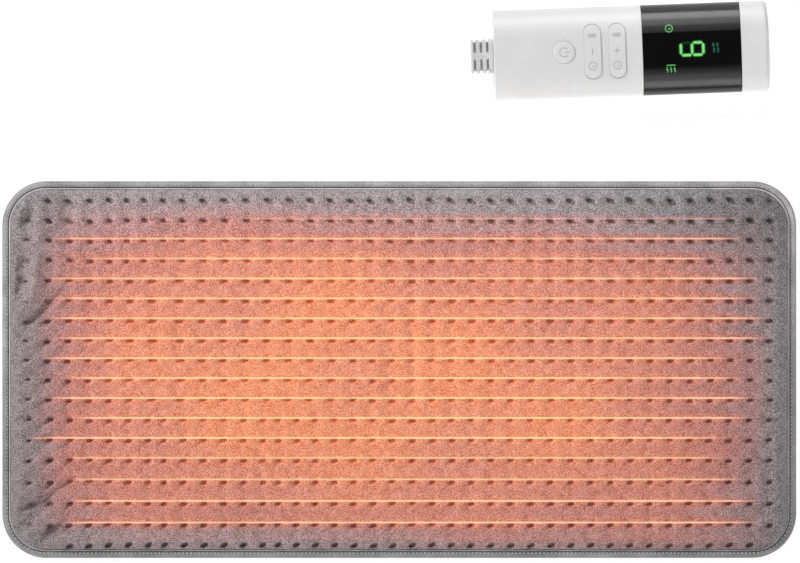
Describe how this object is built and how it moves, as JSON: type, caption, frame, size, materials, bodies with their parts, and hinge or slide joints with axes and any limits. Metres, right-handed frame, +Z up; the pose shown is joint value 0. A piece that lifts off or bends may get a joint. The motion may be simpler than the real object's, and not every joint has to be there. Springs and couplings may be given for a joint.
{
  "type": "heating pad with controller",
  "caption": "Flat fabric heating pad with an embossed plush top and bound edge, and a white hand controller with a black lit display band, power button and rocker keys.",
  "frame": {"origin": "centre of the pad's underside, on the surface it lies on", "axes": "+X along the pad's long side, +Y across the pad towards the controller, +Z up out of the heated face"},
  "size_m": [0.52, 0.3646, 0.0306],
  "materials": {
    "plush_cover": "short plush, embossed with dots",
    "binding_tape": "smooth woven tape",
    "back_cloth": "brushed cloth",
    "felt": "needled felt",
    "wire_insulation": "satin",
    "white_abs": "fine satin moulding",
    "smoked_lens": "polished",
    "black_abs": "satin",
    "boot_rubber": "matt",
    "silicone": "matt",
    "circuit_laminate": "satin",
    "grey_component": "satin",
    "blue_component": "satin",
    "steel": "plain",
    "brass_contact": "plain"
  },
  "bodies": {
    "root": {"top_cover": "plush_cover", "edge_binding": "binding_tape", "bottom_cover": "back_cloth", "lower_batting": "felt", "wire_carrier": "felt", "upper_batting": "felt", "heating_wire": "wire_insulation", "lead_junction": "grey_component", "thermal_cutout": "black_abs", "temperature_sensor": "grey_component", "inlet_plate": "black_abs", "inlet_contact_1": "brass_contact", "inlet_contact_2": "brass_contact", "inlet_contact_3": "brass_contact", "upper_housing": "white_abs", "lower_housing": "white_abs", "end_cap": "white_abs", "display_lens": "smoked_lens", "display_frame": "black_abs", "display_module": "black_abs", "strain_relief": "boot_rubber", "power_dome": "silicone", "decrease_heat_dome": "silicone", "decrease_timer_dome": "silicone", "increase_heat_dome": "silicone", "increase_timer_dome": "silicone", "circuit_board": "circuit_laminate", "triac": "grey_component", "filter_capacitor": "blue_component", "fuse": "steel", "terminal_block": "blue_component", "control_chip": "black_abs", "housing_screw_1": "steel", "housing_screw_2": "steel", "housing_screw_3": "steel", "housing_screw_4": "steel", "board_screw_1": "steel", "board_screw_2": "steel", "board_screw_3": "steel", "board_screw_4": "steel"},
    "power_button": {"power_button": "white_abs"},
    "decrease_key": {"decrease_key": "white_abs"},
    "increase_key": {"increase_key": "white_abs"}
  },
  "joints": [
    {"name": "power_press", "type": "slide", "parent": "root", "child": "power_button", "axis": [0, 0, -1], "range_m": [0, 0.001], "stiffness_N_per_m": 400, "springref_m": -0.0005, "deforming": ["power_dome"]},
    {"name": "decrease_rock", "type": "hinge", "parent": "root", "child": "decrease_key", "pos_m": [0.12582, 0.20744, 0.0244], "axis": [0.9993, 0.0375, 0], "range_deg": [-3, 3], "stiffness_Nm_per_rad": 0.2, "deforming": ["decrease_heat_dome", "decrease_timer_dome"]},
    {"name": "increase_rock", "type": "hinge", "parent": "root", "child": "increase_key", "pos_m": [0.14181, 0.20804, 0.0244], "axis": [0.9993, 0.0375, 0], "range_deg": [-3, 3], "stiffness_Nm_per_rad": 0.2, "deforming": ["increase_heat_dome", "increase_timer_dome"]}
  ]
}
